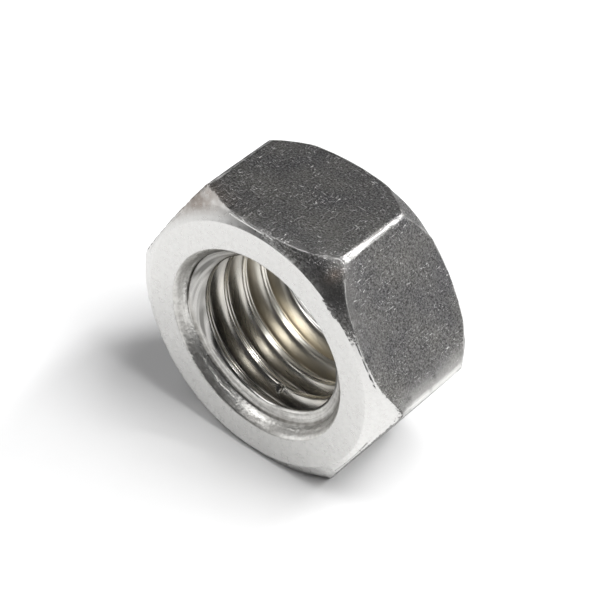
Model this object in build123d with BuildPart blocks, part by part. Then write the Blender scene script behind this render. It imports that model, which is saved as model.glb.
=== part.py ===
"""M14 hexagon nut standing on one of its flats, with its thread axis along Y."""
import os
from math import cos, radians, sin, sqrt, tan

from build123d import *
from build123d.topology import SkipClean

os.makedirs("parts", exist_ok=True)

# The hexagon and its height
across_flats = 21.0
nut_height = 11.0
corner_radius = 0.75

# The thread, M14 x 2, right-handed: 60 degree flanks set by the pitch diameter, a crest at the
# drilled and formed minor diameter, and a narrow root just outside the nominal diameter
nominal_diameter = 14.0
pitch = 2.0
pitch_diameter = nominal_diameter - 0.75 * pitch * sqrt(3) / 2
minor_diameter = 12.3
root_diameter = 14.3
flank_slope = tan(radians(30))
first_crest = 0.42
groove_overlap = 0.1

# The outside of the ends: a bearing face, a 30 degree chamfer, and the steeper relief of the
# forged corners outside the knee; the back is the more heavily chamfered end
front_bearing_diameter = 20.0
back_bearing_diameter = 18.0
chamfer_slope = tan(radians(30))
knee_diameter = 22.0
front_relief_slope = tan(radians(47))
back_relief_slope = tan(radians(58))

# The countersink, the same at both ends: a steep cone, then a shoulder in to the thread
countersink_diameter = 15.4
countersink_depth = 1.0
countersink_slope = tan(radians(60))
shoulder_slope = tan(radians(18))

# Derived sizes and positions
axis_height = across_flats / 2
half_height = nut_height / 2
turning_radius = across_flats / sqrt(3) + 1.0
front_knee_depth = (knee_diameter - front_bearing_diameter) / 2 * chamfer_slope
back_knee_depth = (knee_diameter - back_bearing_diameter) / 2 * chamfer_slope
front_relief_depth = front_knee_depth + (turning_radius - knee_diameter / 2) * front_relief_slope
back_relief_depth = back_knee_depth + (turning_radius - knee_diameter / 2) * back_relief_slope
shoulder_radius = countersink_diameter / 2 - countersink_depth / countersink_slope
crest_depth = countersink_depth + (shoulder_radius - minor_diameter / 2) * shoulder_slope
thread_depth = (root_diameter - minor_diameter) / 2
root_width = pitch / 2 - (root_diameter - pitch_diameter) * flank_slope
mouth_width = pitch / 2 + (pitch_diameter - minor_diameter + 2 * groove_overlap) * flank_slope
groove_start = first_crest - half_height - 1.5 * pitch
groove_turns = 8

centre_plane = Plane(origin=(0, 0, axis_height), x_dir=(1, 0, 0), z_dir=(0, -1, 0))
section_plane = Plane(origin=(0, 0, axis_height), x_dir=(0, 1, 0), z_dir=(1, 0, 0))
thread_axis = Axis((0, 0, axis_height), (0, 1, 0))

with BuildPart() as hex_nut:
    # Forged hexagonal blank with rounded corners, one flat down
    with BuildSketch(centre_plane) as blank:
        RegularPolygon(radius=across_flats / 2, side_count=6, major_radius=False)
        fillet(blank.vertices(), corner_radius)
    extrude(amount=half_height, both=True)

    # Chamfer and corner relief at both ends, taken off by keeping what a turned profile holds
    with BuildSketch(section_plane):
        with BuildLine():
            Polyline(
                (-half_height, 0),
                (-half_height, front_bearing_diameter / 2),
                (-half_height + front_knee_depth, knee_diameter / 2),
                (-half_height + front_relief_depth, turning_radius),
                (half_height - back_relief_depth, turning_radius),
                (half_height - back_knee_depth, knee_diameter / 2),
                (half_height, back_bearing_diameter / 2),
                (half_height, 0),
                close=True,
            )
        make_face()
    revolve(axis=thread_axis, mode=Mode.INTERSECT)

    with SkipClean():
        # The tapping bore with a countersink at each end, cut a quarter at a time so that
        # the crest of the thread stays divided into quarter turns
        for quarter in range(4):
            turn = radians(90 * quarter + 45)
            quarter_plane = Plane(
                origin=(0, 0, axis_height), x_dir=(0, 1, 0), z_dir=(cos(turn), 0, sin(turn))
            )
            with BuildSketch(quarter_plane):
                with BuildLine():
                    Polyline(
                        (-half_height, 0),
                        (-half_height, countersink_diameter / 2),
                        (-half_height + countersink_depth, shoulder_radius),
                        (-half_height + crest_depth, minor_diameter / 2),
                        (half_height - crest_depth, minor_diameter / 2),
                        (half_height - countersink_depth, shoulder_radius),
                        (half_height, countersink_diameter / 2),
                        (half_height, 0),
                        close=True,
                    )
                make_face()
            revolve(axis=thread_axis, revolution_arc=90, mode=Mode.SUBTRACT, clean=False)

        # The thread groove, swept one turn at a time along a helix that runs out at both ends
        for turn_number in range(groove_turns):
            with BuildLine(mode=Mode.PRIVATE):
                groove_path = Helix(
                    pitch=pitch,
                    height=pitch,
                    radius=minor_diameter / 2,
                    center=(0, groove_start + turn_number * pitch, axis_height),
                    direction=(0, 1, 0),
                )
            start_plane = Plane(origin=groove_path @ 0, x_dir=(0, 0, 1), z_dir=groove_path % 0)
            with BuildSketch(start_plane):
                with BuildLine():
                    Polyline(
                        (-groove_overlap, -mouth_width / 2),
                        (thread_depth, -root_width / 2),
                        (thread_depth, root_width / 2),
                        (-groove_overlap, mouth_width / 2),
                        close=True,
                    )
                make_face()
            sweep(path=groove_path, is_frenet=True, mode=Mode.SUBTRACT, clean=False)

hex_nut.part.label = "hex_nut"
export_step(hex_nut.part, "parts/hex_nut.step")
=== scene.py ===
"""Looks of the hex nut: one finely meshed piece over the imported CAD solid, floor, lights and camera."""

import math
from types import SimpleNamespace

import bpy
import numpy as np
from mathutils import Matrix, Vector


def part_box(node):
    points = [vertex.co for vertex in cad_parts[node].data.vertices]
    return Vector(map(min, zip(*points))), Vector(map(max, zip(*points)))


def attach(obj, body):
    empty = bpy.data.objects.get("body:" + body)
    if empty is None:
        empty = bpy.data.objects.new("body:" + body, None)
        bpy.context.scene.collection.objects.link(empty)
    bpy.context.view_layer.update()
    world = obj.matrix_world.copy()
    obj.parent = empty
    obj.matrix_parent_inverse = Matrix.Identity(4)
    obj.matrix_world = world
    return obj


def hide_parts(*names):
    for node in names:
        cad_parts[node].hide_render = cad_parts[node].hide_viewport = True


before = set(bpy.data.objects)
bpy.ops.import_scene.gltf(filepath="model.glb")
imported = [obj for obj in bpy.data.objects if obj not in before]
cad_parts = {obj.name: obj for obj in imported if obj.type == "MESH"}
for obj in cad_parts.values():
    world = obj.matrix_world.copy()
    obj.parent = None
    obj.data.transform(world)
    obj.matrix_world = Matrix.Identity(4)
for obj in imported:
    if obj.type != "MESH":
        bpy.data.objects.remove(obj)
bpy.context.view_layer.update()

MM = 0.001

# The nut in millimetres: hexagon, bearing faces, chamfers and the relief of the corners
ACROSS_FLATS = 21.0
HEIGHT = 11.0
CORNER_RADIUS = 0.75
FRONT_BEARING_RADIUS = 10.0
BACK_BEARING_RADIUS = 9.0
CHAMFER_SLOPE = math.tan(math.radians(30))
KNEE_RADIUS = 11.0
FRONT_RELIEF_SLOPE = math.tan(math.radians(47))
BACK_RELIEF_SLOPE = math.tan(math.radians(58))

# Countersinks and the M14 x 2 thread, right-handed, with a fine groove along its crests. The widths of
# the crest, the groove on it and the start of the root are shares of the pitch
SINK_RADIUS = 7.7
SINK_SLOPE = math.tan(math.radians(60))
SINK_DEPTH = 1.0
RUN_IN_SLOPE = math.tan(math.radians(18))
CREST_RADIUS = 6.15
ROOT_RADIUS = 7.15
PITCH = 2.0
FIRST_CREST = 0.42
CREST_HALF_WIDTH = 0.10
ROOT_START = 0.48
SEAM_DEPTH = 0.05
SEAM_WIDTH = 0.035

# How far the edges are rolled over by forging and wear
FACE_ROLL = 0.16
KNEE_ROLL = 0.5
FRONT_ROLL = 0.10
BACK_ROLL = 0.42

# The lips of the countersinks flare out by this much over this depth, and their bottoms blend into the
# thread over this much of the radius
LIP_FLARE = 0.09
LIP_DEPTH = 0.12
BOTTOM_BLEND = 0.07

# How deep the unevenness goes, in millimetres: waves in the flats, nicks in the front rim, the chip in the
# thread and waves in the countersinks
FLAT_WAVE = 0.012
RIM_NICK = 0.09
CHIP_CUT = 0.35
SINK_WAVE = 0.02

# Spots on the nut are given by an angle in degrees, clockwise from the top as seen from the front, and a
# depth in millimetres from the front face. These are the chip, the upper right corner of the hexagon, and
# the strip beside the corner below that, which is painted bright, partly as wear and partly as painted
# highlight
CHIP_ANGLE = 180.5
CHIP_DEPTH = 3.1
UPPER_CORNER = 30
LOWER_STRIP = 91

# A place on the path over the outside rises by a half along each straight and a half round each corner.
# These are the outer rim of the front face, and the front and back rims of the flats
FACE_RIM = 0.95
FRONT_RIM = 2.8
BACK_RIM = 3.8

# Mesh density: columns along half of one flat and round one corner, and rows down the bore
HALF_FLAT_COLUMNS = 30
CORNER_COLUMNS = 10
BORE_ROWS = 150

# Colours of the steel. Dull forged skin goes from dark to light grain, and from cool to warm patches
FORGED_DARK = (0.062, 0.061, 0.062, 1)
FORGED_DARK_WARM = (0.10, 0.097, 0.091, 1)
FORGED_LIGHT = (0.25, 0.247, 0.252, 1)
FORGED_LIGHT_WARM = (0.34, 0.335, 0.32, 1)
SCRATCHED = (0.74, 0.73, 0.72, 1)
TURNED_DARK = (0.66, 0.655, 0.64, 1)
TURNED_LIGHT = (0.73, 0.725, 0.71, 1)
SINK_DARK = (0.42, 0.41, 0.39, 1)
SINK_LIGHT = (0.86, 0.85, 0.82, 1)
# The first turns of the thread near each end are painted darker, painted shade over turning streaks
RUN_IN_SHADE_DARK = (0.20, 0.195, 0.185, 1)
RUN_IN_SHADE_LIGHT = (0.56, 0.55, 0.53, 1)
# Thread colours: the grooves are painted dark as painted shade, and deep in the bore the grooves and crests
# are painted lighter and warmer as painted light
GROOVE_SHADE_FRONT = (0.155, 0.147, 0.135, 1)
GROOVE_DEEP_PAINTED_LIGHT = (0.52, 0.46, 0.35, 1)
CREST_DARK = (0.52, 0.505, 0.47, 1)
CREST_LIGHT = (0.74, 0.71, 0.65, 1)
CREST_DEEP_HIGHLIGHT = (0.84, 0.81, 0.73, 1)
# Painted shade on the chamfer at the upper right corner
CORNER_SHADE = (0.06, 0.058, 0.057, 1)
# Bright metal on worn edges, which also serves as painted highlight
WEAR_AND_HIGHLIGHT = (0.82, 0.81, 0.79, 1)
# A brown patch on the upper left chamfer, and a painted reflection at the upper right corner
BROWN_PATCH_AND_REFLECTION = (0.25, 0.205, 0.175, 1)
# Painted shade in the crease at the bottom of the front countersink and in the chip
CREASE_SHADE = (0.10, 0.09, 0.075, 1)

# Soft boxes, all at one distance from the nut: name, direction, side of the square in metres, watts
LIGHT_DISTANCE = 0.55
LIGHTS = [
    ("key", (0.346, 0.572, 0.743), 0.12, 1.0),
    ("side", (0.38, 0.16, 0.91), 0.32, 2.4),
    ("overhead", (-0.42, -0.27, 0.86), 0.30, 0.75),
    ("low_side", (0.62, 0.06, 0.78), 0.24, 0.9),
    ("card", (-0.88, -0.44, 0.18), 0.34, 0.45),
]
WORLD_COLOUR = (0.05, 0.05, 0.052, 1)
FLOOR_RADIUS = 2.0

# Camera: its direction from the nut, its focal length in millimetres, and its distance and aim in widths
# across flats
BEARING = math.radians(38.7248)
ELEVATION = math.radians(42.1846)
ROLL = math.radians(2.5927)
DISTANCE = 8.9877
LENS = 158.7
AIM_RIGHT = -0.0194
AIM_UP = 0.024


def smooth(a, b, x):
    """0 below a, 1 above b, with a smooth step between."""
    t = np.clip((x - a) / (b - a), 0, 1)
    return t * t * (3 - 2 * t)


def band(x, centre, width):
    """1 at the centre, falling smoothly to nothing within a few widths of it."""
    return np.exp(-(((x - centre) / width) ** 2))


def value_noise(u, v, cells, seed):
    """Smooth noise from 0 to 1 that repeats every cells steps of u and every 64 steps of v."""
    table = np.random.default_rng(seed).random((cells, 64))
    u0 = np.floor(u).astype(int)
    v0 = np.floor(v).astype(int)
    fu = smooth(0, 1, u - u0)
    fv = smooth(0, 1, v - v0)
    near = table[u0 % cells, v0 % 64] * (1 - fu) + table[(u0 + 1) % cells, v0 % 64] * fu
    far = table[u0 % cells, (v0 + 1) % 64] * (1 - fu) + table[(u0 + 1) % cells, (v0 + 1) % 64] * fu
    return near * (1 - fv) + far * fv


def column_angles():
    """Angles clockwise from the top as seen from the front, closer together round the corners."""
    tangent = (ACROSS_FLATS / 2 - CORNER_RADIUS) * math.tan(math.radians(30))
    flat = math.degrees(math.atan(tangent / (ACROSS_FLATS / 2)))
    along_flat = np.linspace(-flat, flat, 2 * HALF_FLAT_COLUMNS + 1)
    round_corner = np.linspace(flat, 60 - flat, CORNER_COLUMNS + 2)[1:-1]
    one_side = np.concatenate([along_flat, round_corner])
    return np.radians(np.concatenate([one_side + 60 * k for k in range(6)]))


def hexagon_radius(theta):
    """Distance from the axis to the rounded hexagon at each angle."""
    inner = ACROSS_FLATS / 2 - CORNER_RADIUS
    centre = inner / math.cos(math.radians(30))
    from_flat = np.abs((theta + math.pi / 6) % (math.pi / 3) - math.pi / 6)
    from_corner = math.pi / 6 - from_flat
    flat = ACROSS_FLATS / 2 / np.cos(from_flat)
    under = np.maximum(CORNER_RADIUS**2 - (centre * np.sin(from_corner)) ** 2, 0)
    arc = centre * np.cos(from_corner) + np.sqrt(under)
    tangent = math.atan(inner * math.tan(math.radians(30)) / (ACROSS_FLATS / 2))
    return np.where(from_flat < tangent, flat, arc)


def rounded_path(corners, rolls, counts, spans):
    """Points along a path through corners, with the corners between its ends rounded.

    corners is a list of (radius, y) arrays over the columns. The result is two arrays of shape
    (points, columns) and each point's place, which rises by a half along each straight and a half round
    each corner."""
    radii = []
    ys = []
    place = []
    start = corners[0]
    for k in range(1, len(corners)):
        last = k == len(corners) - 1
        enter = corners[k]
        if not last:
            back = corners[k - 1] - corners[k]
            ahead = corners[k + 1] - corners[k]
            back_length = np.hypot(*back)
            ahead_length = np.hypot(*ahead)
            back = back / back_length
            ahead = ahead / ahead_length
            turn = np.arccos(np.clip(-(back * ahead).sum(0), -1, 1))
            reach = np.minimum(rolls[k - 1] * np.tan(turn / 2), 0.45 * np.minimum(back_length, ahead_length))
            enter = corners[k] + back * reach
            leave = corners[k] + ahead * reach
        for t in spans[k - 1]:
            point = start + (enter - start) * t
            radii.append(point[0])
            ys.append(point[1])
            place.append(k - 1 + t * 0.5)
        if not last:
            for t in np.linspace(0, 1, counts[k - 1] + 1)[:-1]:
                point = enter * (1 - t) ** 2 + corners[k] * 2 * t * (1 - t) + leave * t**2
                radii.append(point[0])
                ys.append(point[1])
                place.append(k - 0.5 + t * 0.5)
            start = leave
    return np.array(radii), np.array(ys), np.array(place)


def chamfer_drops(reach, bearing, relief_slope):
    """Radius and depth below the end of the knee and of the outer edge of a chamfer."""
    knee = np.minimum(KNEE_RADIUS, bearing + 0.75 * (reach - bearing))
    knee_drop = (knee - bearing) * CHAMFER_SLOPE
    edge_drop = (np.minimum(reach, KNEE_RADIUS) - bearing) * CHAMFER_SLOPE
    edge_drop = edge_drop + np.maximum(reach - KNEE_RADIUS, 0) * relief_slope
    return knee, knee_drop, edge_drop


def outer_rows(theta):
    """The outside: front face, chamfer, relief, flats, and the same again at the back."""
    ones = np.ones_like(theta)
    reach = hexagon_radius(theta)
    front_knee, front_drop, front_edge = chamfer_drops(reach, FRONT_BEARING_RADIUS, FRONT_RELIEF_SLOPE)
    back_knee, back_drop, back_edge = chamfer_drops(reach, BACK_BEARING_RADIUS, BACK_RELIEF_SLOPE)
    front = -HEIGHT / 2
    back = HEIGHT / 2
    corners = [
        np.array([SINK_RADIUS * ones, front * ones]),
        np.array([FRONT_BEARING_RADIUS * ones, front * ones]),
        np.array([front_knee, front + front_drop]),
        np.array([reach, front + front_edge]),
        np.array([reach, back - back_edge]),
        np.array([back_knee, back - back_drop]),
        np.array([BACK_BEARING_RADIUS * ones, back * ones]),
        np.array([SINK_RADIUS * ones, back * ones]),
    ]
    rolls = [FACE_ROLL, KNEE_ROLL, FRONT_ROLL, BACK_ROLL, KNEE_ROLL, FACE_ROLL]
    # Rows round each corner, and where they lie along each straight. The last straight stops short of the
    # flared lip, where the rows of the bore take over
    counts = [3, 3, 4, 5, 3, 3]
    spans = [
        np.linspace(0.06, 1, 7)[:-1],
        np.linspace(0, 1, 5)[:-1],
        np.linspace(0, 1, 5)[:-1],
        np.linspace(0, 1, 24)[:-1],
        np.linspace(0, 1, 4)[:-1],
        np.linspace(0, 1, 4)[:-1],
        np.linspace(0, 0.86, 6),
    ]
    return rounded_path(corners, rolls, counts, spans)


def thread_radius(theta, y):
    """Radius of the bore, how far it lies into the groove, and how much of it is thread, not countersink."""
    depth = y + HEIGHT / 2
    phase = ((depth - FIRST_CREST) / PITCH - theta / (2 * math.pi)) % 1.0
    off_crest = np.minimum(phase, 1 - phase)
    flank = np.clip((off_crest - CREST_HALF_WIDTH) / (ROOT_START - CREST_HALF_WIDTH), 0, 1)
    rounded = 0.35 * flank + 0.65 * smooth(0, 1, flank)
    seam = SEAM_DEPTH * band((phase + 0.5) % 1, 0.5, SEAM_WIDTH)
    wave = CREST_RADIUS + (ROOT_RADIUS - CREST_RADIUS) * rounded + seam
    from_end = np.minimum(depth, HEIGHT - depth)
    run_in = np.maximum(from_end - SINK_DEPTH, 0)
    cone = SINK_RADIUS - np.minimum(from_end, SINK_DEPTH) / SINK_SLOPE - run_in / RUN_IN_SLOPE
    cone = cone + LIP_FLARE * np.exp(-from_end / LIP_DEPTH)
    share = np.clip(0.5 + 0.5 * (wave - cone) / BOTTOM_BLEND, 0, 1)
    radius = cone * (1 - share) + wave * share + BOTTOM_BLEND * share * (1 - share)
    return radius, flank * share, share


def bore_rows(theta):
    """The inside, from the back countersink to the front one."""
    ys = np.linspace(HEIGHT / 2, -HEIGHT / 2, BORE_ROWS)
    y = np.repeat(ys[:, None], len(theta), axis=1)
    t = np.repeat(theta[None, :], BORE_ROWS, axis=0)
    radius, groove, thread = thread_radius(t, y)
    return radius, y, groove, thread


def surface_normals(points):
    """Outward normals of the closed surface, whose points are in an array of (rows, columns, 3)."""
    down = np.roll(points, -1, 0) - np.roll(points, 1, 0)
    across = np.roll(points, -1, 1) - np.roll(points, 1, 1)
    normal = np.cross(across, down)
    return normal / np.maximum(np.linalg.norm(normal, axis=-1, keepdims=True), 1e-9)


def nut_shape():
    """The smooth shape as arrays of (rows, columns), what each point is part of, and noise over it."""
    theta = column_angles()
    out_radius, out_y, path_place = outer_rows(theta)
    in_radius, in_y, groove, thread = bore_rows(theta)
    outer = len(out_radius)
    radius = np.concatenate([out_radius, in_radius])
    y = np.concatenate([out_y, in_y])
    surf = SimpleNamespace()
    surf.angle = np.repeat(theta[None, :], len(radius), axis=0)
    surf.depth = y + HEIGHT / 2
    surf.points = np.stack([radius * np.sin(surf.angle), y, radius * np.cos(surf.angle)], -1)

    surf.outside = np.zeros(radius.shape)
    surf.outside[:outer] = 1
    surf.place = np.zeros(radius.shape)
    surf.place[:outer] = path_place[:, None]
    surf.groove = np.zeros(radius.shape)
    surf.groove[outer:] = groove
    surf.thread = np.zeros(radius.shape)
    surf.thread[outer:] = thread
    surf.sink = (1 - surf.outside) * (1 - surf.thread)

    turns = surf.angle / (2 * math.pi)
    surf.coarse = value_noise(turns * 36, y * 0.9 + 9, 36, 3)
    surf.middle = value_noise(turns * 150, y * 2.4 + 9, 150, 5)
    surf.fine = value_noise(turns * 420, y * 5 + 9, 420, 7)
    return surf


def spot(surf, angle, depth, width, length):
    """A smooth spot at an angle and a depth, with its width across and its length along Y."""
    off = (surf.angle - math.radians(angle) + math.pi) % (2 * math.pi) - math.pi
    return band(off * ACROSS_FLATS / 2, 0, width) * band(surf.depth, depth, length)


def add_wear(surf):
    """Mark the flats, the worn edges between them, which are worn most near the front and are painted bright
    as highlight too, and the chip.
    """
    from_corner = np.abs((np.degrees(surf.angle) + 60) % 60 - 30)
    surf.near_front = band(surf.depth, 1.6, 2.2)
    edge = 1 - smooth(0.1, 1.0, from_corner / (0.9 + 0.9 * surf.near_front))
    surf.flats = smooth(2.9, 3.1, surf.place) * smooth(4.1, 3.9, surf.place) * surf.outside
    # The worn edges are dented and also painted bright, partly wear and partly painted highlight
    surf.worn_edges = edge * surf.flats * smooth(0.1, 0.5, surf.middle + 0.35 * surf.near_front)
    surf.chip = spot(surf, CHIP_ANGLE, CHIP_DEPTH, 0.22, 0.16) * (1 - surf.outside)


def dented_points(surf):
    """The points moved along their normals, for uneven flats and countersinks, worn edges and the chip."""
    front_rim = band(surf.place, FRONT_RIM, 0.35) * surf.outside
    dent = FLAT_WAVE * (surf.coarse - 0.5) * surf.flats
    dent = dent - surf.worn_edges * (0.05 * surf.middle + 0.04 * surf.fine + 0.05 * surf.near_front)
    dent = dent - RIM_NICK * front_rim * smooth(0.55, 0.95, surf.fine)
    dent = dent - CHIP_CUT * surf.chip
    dent = dent - SINK_WAVE * surf.sink * (surf.fine - 0.5)
    return surf.points + surface_normals(surf.points) * dent[..., None]


def wear_and_highlight_mask(surf):
    """Bright metal, partly wear and partly painted highlight: the edges between flats, their front and back
    rims, and burrs on the front face.
    """
    # The front rim is painted bright near the upper right corner, the back rim all round, partly as wear and
    # partly as painted highlight
    front_rim = band(surf.place, FRONT_RIM - 0.05, 0.22) * surf.outside
    front_rim = front_rim * spot(surf, 34, 1.0, 6.5, 3.0) * smooth(0.05, 0.5, surf.middle)
    back_rim = band(surf.place, BACK_RIM, 0.16) * surf.outside * smooth(0.1, 0.6, surf.middle)
    # A painted highlight on the node at the upper right corner
    tip = spot(surf, UPPER_CORNER, 1.6, 0.5, 0.5) * surf.outside
    burrs = band(surf.place, FACE_RIM, 0.22) * spot(surf, 11, 0, 2.8, 3.0)
    burrs = burrs * smooth(0.45, 0.75, surf.fine) * surf.outside
    # A bright strip beside the corner below, partly wear and partly painted highlight
    lower_edge = spot(surf, LOWER_STRIP, HEIGHT / 2, 0.95, 20) * smooth(0.0, 0.4, surf.middle) * surf.flats
    rims = np.maximum(0.75 * front_rim, 0.7 * back_rim)
    return np.maximum.reduce([surf.worn_edges, rims, 0.8 * tip, 0.8 * burrs, 0.9 * lower_edge])


def material_masks(surf):
    """How much of each finish, painted shade and painted highlight there is at each point, by the name that
    the material reads.
    """
    # Forged skin lies on the flats and, round the upper right corner, on the front chamfer as well. At
    # the cut-in it reaches on into the front face
    cut_in = spot(surf, 42, 0, 3.0, 3.0)
    dark_corner = spot(surf, UPPER_CORNER, 1.0, 5.2, 2.2)
    dark_corner = dark_corner * smooth(0.9 - 0.58 * cut_in, 1.15 - 0.62 * cut_in, surf.place)
    forged = np.maximum(smooth(2.1, 2.9, surf.place), smooth(0.1, 0.7, dark_corner))
    # Painted shade: a dark patch on the chamfer beside the upper right corner
    corner_shade = spot(surf, 38, 0.4, 3.2, 1.1) * smooth(0.3, 0.9, dark_corner)
    # A brown patch on the chamfer at the upper left corner, and a small brown spot at the upper right that
    # is a painted reflection
    brown_patch_and_reflection = spot(surf, -34, 0.8, 2.6, 1.1) + spot(surf, 31.5, 1.0, 0.4, 0.4)
    # Painted shade darkens the line round the bottom of the front countersink, and the chip
    from_end = np.minimum(surf.depth, HEIGHT - surf.depth)
    crease_shade = band(surf.depth, SINK_DEPTH, 0.07) * (0.5 + 0.5 * surf.middle) * surf.sink + surf.chip
    return {
        "forged": forged * smooth(5.2, 4.9, surf.place) * surf.outside,
        "worn": wear_and_highlight_mask(surf),
        "groove": surf.groove,
        "thread": surf.thread,
        "sink": surf.sink,
        "brown_patch_and_reflection": brown_patch_and_reflection * smooth(1.0, 1.5, surf.place) * surf.outside,
        "corner_shade": corner_shade * surf.outside,
        # The run-in band, where painted shade darkens the first turns of the thread near each end
        "run_in": surf.thread * smooth(2.5, 1.3, from_end),
        "crease_shade": crease_shade,
    }


def grid_quads(rows, columns):
    """Quads between each row and the next and each column and the next, closed both ways."""
    row = np.arange(rows)[:, None] * columns
    next_row = (np.arange(rows)[:, None] + 1) % rows * columns
    column = np.arange(columns)[None, :]
    next_column = (column + 1) % columns
    quads = [row + column, row + next_column, next_row + next_column, next_row + column]
    return np.stack(quads, -1).reshape(-1, 4)


def build_nut(axis_height):
    """The whole surface of the nut as one closed mesh, with the masks as attributes of its points."""
    surf = nut_shape()
    add_wear(surf)
    points = dented_points(surf)
    points[..., 2] += axis_height / MM
    mesh = bpy.data.meshes.new("nut_surface")
    quads = grid_quads(*surf.depth.shape)
    mesh.from_pydata((points.reshape(-1, 3) * MM).tolist(), [], quads.tolist())
    mesh.update()
    mesh.polygons.foreach_set("use_smooth", np.ones(len(mesh.polygons), bool))
    for name, values in material_masks(surf).items():
        attribute = mesh.attributes.new(name, "FLOAT", "POINT")
        attribute.data.foreach_set("value", values.reshape(-1).astype(np.float32))
    obj = bpy.data.objects.new("nut_surface", mesh)
    bpy.context.scene.collection.objects.link(obj)
    return obj


class Nodes:
    """A small helper for writing a material's nodes as nested calls."""

    def __init__(self, name):
        self.material = bpy.data.materials.new(name)
        self.material.use_nodes = True
        self.tree = self.material.node_tree
        self.shader = self.tree.nodes["Principled BSDF"]
        self.where = self.add("ShaderNodeTexCoord").outputs["Object"]

    def add(self, kind, *inputs, **settings):
        node = self.tree.nodes.new(kind)
        for key, value in settings.items():
            setattr(node, key, value)
        for index, value in enumerate(inputs):
            self.feed(node.inputs[index], value)
        return node

    def feed(self, socket, value):
        if isinstance(value, bpy.types.NodeSocket):
            self.tree.links.new(value, socket)
        else:
            socket.default_value = value

    def math(self, operation, a, b=0.0, clamp=False):
        return self.add("ShaderNodeMath", a, b, operation=operation, use_clamp=clamp).outputs[0]

    def times(self, a, b):
        return self.math("MULTIPLY", a, b)

    def vector(self, operation, a, b):
        return self.add("ShaderNodeVectorMath", a, b, operation=operation).outputs[0]

    def mask(self, name):
        return self.add("ShaderNodeAttribute", attribute_name=name).outputs["Fac"]

    def noise(self, where, scale, detail=2.0, rough=0.5):
        node = self.add("ShaderNodeTexNoise", where)
        node.inputs["Scale"].default_value = scale
        node.inputs["Detail"].default_value = detail
        node.inputs["Roughness"].default_value = rough
        return node.outputs["Fac"]

    def ramp(self, value, low, high, out_low=0.0, out_high=1.0):
        node = self.add("ShaderNodeMapRange", value, low, high, out_low, out_high)
        node.clamp = True
        return node.outputs["Result"]

    def mix(self, share, a, b):
        node = self.add("ShaderNodeMix", data_type="FLOAT")
        self.feed(node.inputs[0], share)
        self.feed(node.inputs[2], a)
        self.feed(node.inputs[3], b)
        return node.outputs[0]

    def blend(self, share, a, b):
        node = self.add("ShaderNodeMix", data_type="RGBA")
        self.feed(node.inputs[0], share)
        self.feed(node.inputs[6], a)
        self.feed(node.inputs[7], b)
        return node.outputs[2]

    def stretched(self, scales, turn):
        node = self.add("ShaderNodeMapping", self.where, (0, 0, 0), turn, scales)
        return node.outputs["Vector"]


def around_axis(n, axis_height):
    """Distance from the thread's axis in metres, and the direction away from it as X and Z."""
    offset = n.vector("SUBTRACT", n.where, (0, 0, axis_height))
    flattened = n.vector("MULTIPLY", offset, (1, 0, 1))
    distance = n.add("ShaderNodeVectorMath", flattened, operation="LENGTH").outputs["Value"]
    direction = n.add("ShaderNodeVectorMath", flattened, operation="NORMALIZE").outputs["Vector"]
    parts = n.add("ShaderNodeSeparateXYZ", direction).outputs
    return distance, parts["X"], parts["Z"]


def nut_patterns(n, axis_height):
    """The masks, noises and turning marks that the colour, roughness and relief of the steel share."""
    tex = SimpleNamespace()
    tex.thread = n.mask("thread")
    tex.sink = n.mask("sink")
    tex.worn = n.mask("worn")
    tex.per_mm = n.stretched((1 / MM, 1 / MM, 1 / MM), (0, 0, 0))
    tex.grain = n.noise(tex.per_mm, 7.0, 3.0, 0.7)
    tex.fine = n.noise(tex.per_mm, 2.2, 4.0, 0.65)

    # The forged skin ends along a ragged border
    ragged = n.math("SUBTRACT", n.noise(tex.per_mm, 4.2, 3.0, 0.7), 0.5)
    forged = n.mask("forged")
    at_border = n.times(n.times(forged, n.math("SUBTRACT", 1.0, forged)), 4.0)
    tex.forged = n.ramp(n.math("ADD", forged, n.times(n.times(ragged, at_border), 2.0)), 0.44, 0.56)

    # Short scratches two ways and specks, both in clusters
    long_a = n.stretched((1.6 / MM, 10.0 / MM, 10.0 / MM), (0.3, 0.5, 0.7))
    long_b = n.stretched((10.0 / MM, 1.8 / MM, 10.0 / MM), (-0.6, 0.2, -0.4))
    scratch_a = n.ramp(n.noise(long_a, 1.0, 1.0, 0.5), 0.68, 0.75)
    scratch_b = n.ramp(n.noise(long_b, 1.0, 1.0, 0.5), 0.69, 0.76)
    scratches = n.math("MAXIMUM", scratch_a, scratch_b)
    specks = n.ramp(n.noise(tex.per_mm, 6.5, 1.0, 0.5), 0.68, 0.75)
    clusters = n.ramp(n.noise(tex.per_mm, 0.40, 3.0, 0.65), 0.40, 0.60, 0.18, 1.0)
    tex.bright = n.times(n.math("MAXIMUM", scratches, specks), clusters)

    # Rings on the faces, and streaks that run round the countersinks and the bore
    from_axis, toward_x, toward_z = around_axis(n, axis_height)
    y = n.add("ShaderNodeSeparateXYZ", n.where).outputs["Y"]
    ring_place = n.add("ShaderNodeCombineXYZ", n.times(from_axis, 1 / MM), 0.0, 0.0).outputs[0]
    tex.rings = n.noise(ring_place, 7.0, 3.0, 0.6)
    along_wall = n.times(n.math("ADD", from_axis, y), 1 / MM)
    streak_place = n.add("ShaderNodeCombineXYZ", toward_x, n.times(along_wall, 5.0), toward_z).outputs[0]
    tex.streaks = n.noise(streak_place, 1.5, 1.0, 0.5)
    tex.deep = n.ramp(y, -1.5 * MM, 3.0 * MM)
    blotch = n.ramp(n.noise(tex.per_mm, 2.6, 4.0, 0.7), 0.35, 0.7)
    tex.chatter = n.times(n.math("ADD", blotch, n.ramp(tex.streaks, 0.40, 0.60)), 0.5)
    return tex


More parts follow.
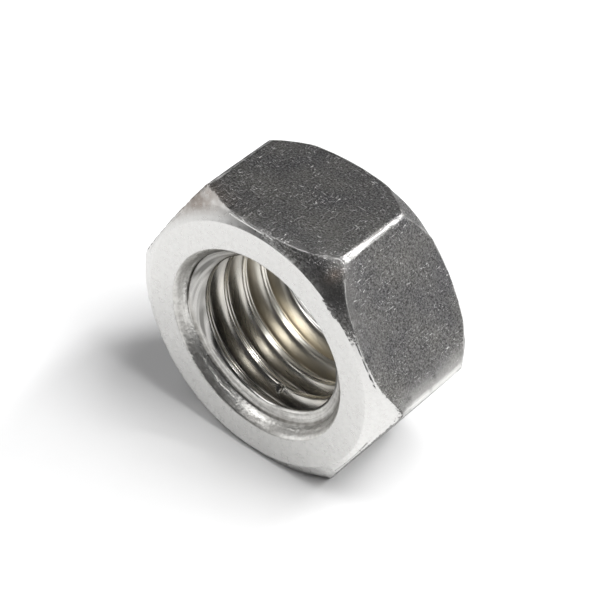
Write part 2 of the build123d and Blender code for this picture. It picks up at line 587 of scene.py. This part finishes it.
def nut_colour(n, tex):
    """Forged, turned, countersunk and threaded metal, with painted shade in the grooves and painted light
    deep in the bore, then painted corner shade, wear with painted highlights, brown patches with a painted
    reflection and painted crease shade over them.
    """
    warm = n.ramp(n.noise(tex.per_mm, 0.28, 3.0, 0.6), 0.35, 0.65)
    dark_steel = n.blend(warm, FORGED_DARK, FORGED_DARK_WARM)
    light_steel = n.blend(warm, FORGED_LIGHT, FORGED_LIGHT_WARM)
    forged = n.blend(n.ramp(tex.grain, 0.38, 0.65), dark_steel, light_steel)
    forged = n.blend(tex.bright, forged, SCRATCHED)
    turned = n.blend(n.ramp(tex.fine, 0.35, 0.65), TURNED_DARK, TURNED_LIGHT)
    # Painted shade darkens the grooves near the front, and painted light brightens the grooves and crests
    # deep in the bore
    groove = n.blend(tex.deep, GROOVE_SHADE_FRONT, GROOVE_DEEP_PAINTED_LIGHT)
    crest = n.blend(n.ramp(tex.streaks, 0.40, 0.58), CREST_DARK, CREST_LIGHT)
    crest = n.blend(tex.deep, crest, CREST_DEEP_HIGHLIGHT)
    thread = n.blend(n.ramp(n.mask("groove"), 0.25, 0.95), crest, groove)
    # Painted shade: the first turns near each end are darkened, over the streaks
    run_in = n.blend(n.ramp(tex.streaks, 0.42, 0.60), RUN_IN_SHADE_DARK, RUN_IN_SHADE_LIGHT)
    thread = n.blend(n.mask("run_in"), thread, run_in)

    colour = n.blend(tex.forged, turned, forged)
    colour = n.blend(tex.sink, colour, n.blend(tex.chatter, SINK_DARK, SINK_LIGHT))
    colour = n.blend(tex.thread, colour, thread)
    # Painted shade on the upper right chamfer
    colour = n.blend(n.times(n.mask("corner_shade"), 0.9), colour, CORNER_SHADE)
    # Worn edges and rims painted bright, partly wear and partly painted highlight
    colour = n.blend(tex.worn, colour, WEAR_AND_HIGHLIGHT)
    # Brown patches, the small one at the upper right a painted reflection
    patches = n.ramp(n.noise(tex.per_mm, 1.6, 3.0, 0.6), 0.26, 0.52, 0.35, 1.0)
    brown_patch_and_reflection = n.math("MULTIPLY", n.mask("brown_patch_and_reflection"), patches, clamp=True)
    colour = n.blend(n.times(brown_patch_and_reflection, 0.85), colour, BROWN_PATCH_AND_REFLECTION)
    # Painted shade in the countersink's crease and the chip
    return n.blend(n.mask("crease_shade"), colour, CREASE_SHADE)


def nut_roughness(n, tex):
    """Satin turned metal, duller forged skin, smooth thread that is duller deep in the bore."""
    turned = n.ramp(tex.fine, 0.3, 0.7, 0.24, 0.36)
    forged = n.ramp(tex.grain, 0.3, 0.7, 0.44, 0.32)
    sink = n.ramp(tex.chatter, 0.0, 1.0, 0.36, 0.26)
    thread_front = n.ramp(tex.streaks, 0.3, 0.7, 0.22, 0.29)
    thread_deep = n.ramp(tex.streaks, 0.3, 0.7, 0.33, 0.40)
    rough = n.mix(tex.forged, turned, forged)
    rough = n.mix(tex.sink, rough, sink)
    rough = n.mix(tex.thread, rough, n.mix(tex.deep, thread_front, thread_deep))
    return n.mix(tex.worn, rough, 0.30)


def nut_height(n, tex):
    """Relief in millimetres: rings on turned metal, grain on the forged skin, pits in the countersinks."""
    rings = n.times(n.times(tex.rings, n.math("SUBTRACT", 1.0, tex.thread)), 0.004)
    turned = n.math("ADD", rings, n.times(tex.fine, 0.009))
    forged = n.times(n.math("ADD", tex.grain, n.times(tex.bright, 0.3)), 0.06)
    sink = n.times(n.math("ADD", n.noise(tex.per_mm, 4.0, 3.0, 0.7), tex.streaks), 0.04)
    height = n.mix(tex.forged, turned, forged)
    height = n.mix(tex.sink, height, sink)
    height = n.mix(tex.thread, height, n.times(tex.streaks, 0.007))
    return n.mix(n.times(tex.worn, 0.55), height, n.times(tex.fine, 0.01))


def nut_steel(axis_height):
    """Stainless steel: grained, scratched flats, turned ends, streaked countersinks and a drawn thread."""
    n = Nodes("nut_steel")
    tex = nut_patterns(n, axis_height)
    bump = n.add("ShaderNodeBump")
    bump.inputs["Strength"].default_value = 1.0
    bump.inputs["Distance"].default_value = MM
    n.feed(bump.inputs["Height"], nut_height(n, tex))
    n.feed(n.shader.inputs["Base Color"], nut_colour(n, tex))
    n.feed(n.shader.inputs["Roughness"], nut_roughness(n, tex))
    n.feed(n.shader.inputs["Normal"], bump.outputs["Normal"])
    n.shader.inputs["Metallic"].default_value = 1.0
    return n.material


def floor_paper():
    """Matt white paper with a faint tooth."""
    n = Nodes("floor_paper")
    tooth = n.noise(n.where, 300.0, 3.0, 0.6)
    n.feed(n.shader.inputs["Base Color"], n.blend(tooth, (0.89, 0.89, 0.89, 1), (0.91, 0.91, 0.91, 1)))
    n.feed(n.shader.inputs["Roughness"], n.ramp(tooth, 0.3, 0.7, 0.85, 0.95))
    return n.material


def build_floor(radius):
    """A round sheet of paper under the nut, fine enough to be smooth at its rim."""
    sides = 96
    turn = np.linspace(0, 2 * math.pi, sides, endpoint=False)
    verts = [(0, 0, 0)] + [(radius * math.cos(t), radius * math.sin(t), 0) for t in turn]
    faces = [(0, 1 + k, 1 + (k + 1) % sides) for k in range(sides)]
    mesh = bpy.data.meshes.new("floor")
    mesh.from_pydata(verts, [], faces)
    mesh.update()
    obj = bpy.data.objects.new("floor", mesh)
    bpy.context.scene.collection.objects.link(obj)
    return obj


def soft_light(centre, name, direction, size, power):
    """A square soft box that faces the nut from a direction."""
    light = bpy.data.lights.new(name, "AREA")
    light.shape = "SQUARE"
    light.size = size
    light.energy = power
    obj = bpy.data.objects.new(name, light)
    toward = Vector(direction).normalized()
    obj.location = centre + toward * LIGHT_DISTANCE
    obj.rotation_euler = toward.to_track_quat("Z", "Y").to_euler()
    bpy.context.scene.collection.objects.link(obj)


def place_camera(centre):
    """A long lens that looks down at the front and right of the nut, slightly rolled."""
    backward = Vector(
        (
            math.sin(BEARING) * math.cos(ELEVATION),
            -math.cos(BEARING) * math.cos(ELEVATION),
            math.sin(ELEVATION),
        )
    )
    level = Vector((math.cos(BEARING), math.sin(BEARING), 0))
    upright = backward.cross(level)
    right = level * math.cos(ROLL) + upright * math.sin(ROLL)
    up = upright * math.cos(ROLL) - level * math.sin(ROLL)
    width = ACROSS_FLATS * MM
    target = centre + (right * AIM_RIGHT + up * AIM_UP) * width
    camera = bpy.data.cameras.new("camera")
    camera.sensor_width = 36
    camera.lens = LENS
    camera.clip_start = 0.01
    obj = bpy.data.objects.new("camera", camera)
    bpy.context.scene.collection.objects.link(obj)
    facing = Matrix((right, up, backward)).transposed()
    obj.matrix_world = Matrix.Translation(target + backward * DISTANCE * width) @ facing.to_4x4()
    bpy.context.scene.camera = obj


low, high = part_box("hex_nut")
axis_height = (low[2] + high[2]) / 2
centre = Vector((0, 0, axis_height))

nut = build_nut(axis_height)
nut.data.materials.append(nut_steel(axis_height))
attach(nut, "root")
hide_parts("hex_nut")

floor = build_floor(FLOOR_RADIUS)
floor.data.materials.append(floor_paper())

world = bpy.data.worlds.new("world")
bpy.context.scene.world = world
world.use_nodes = True
world.node_tree.nodes["Background"].inputs["Color"].default_value = WORLD_COLOUR

for name, direction, size, power in LIGHTS:
    soft_light(centre, name, direction, size, power)

place_camera(centre)
bpy.context.scene.view_settings.view_transform = "Standard"
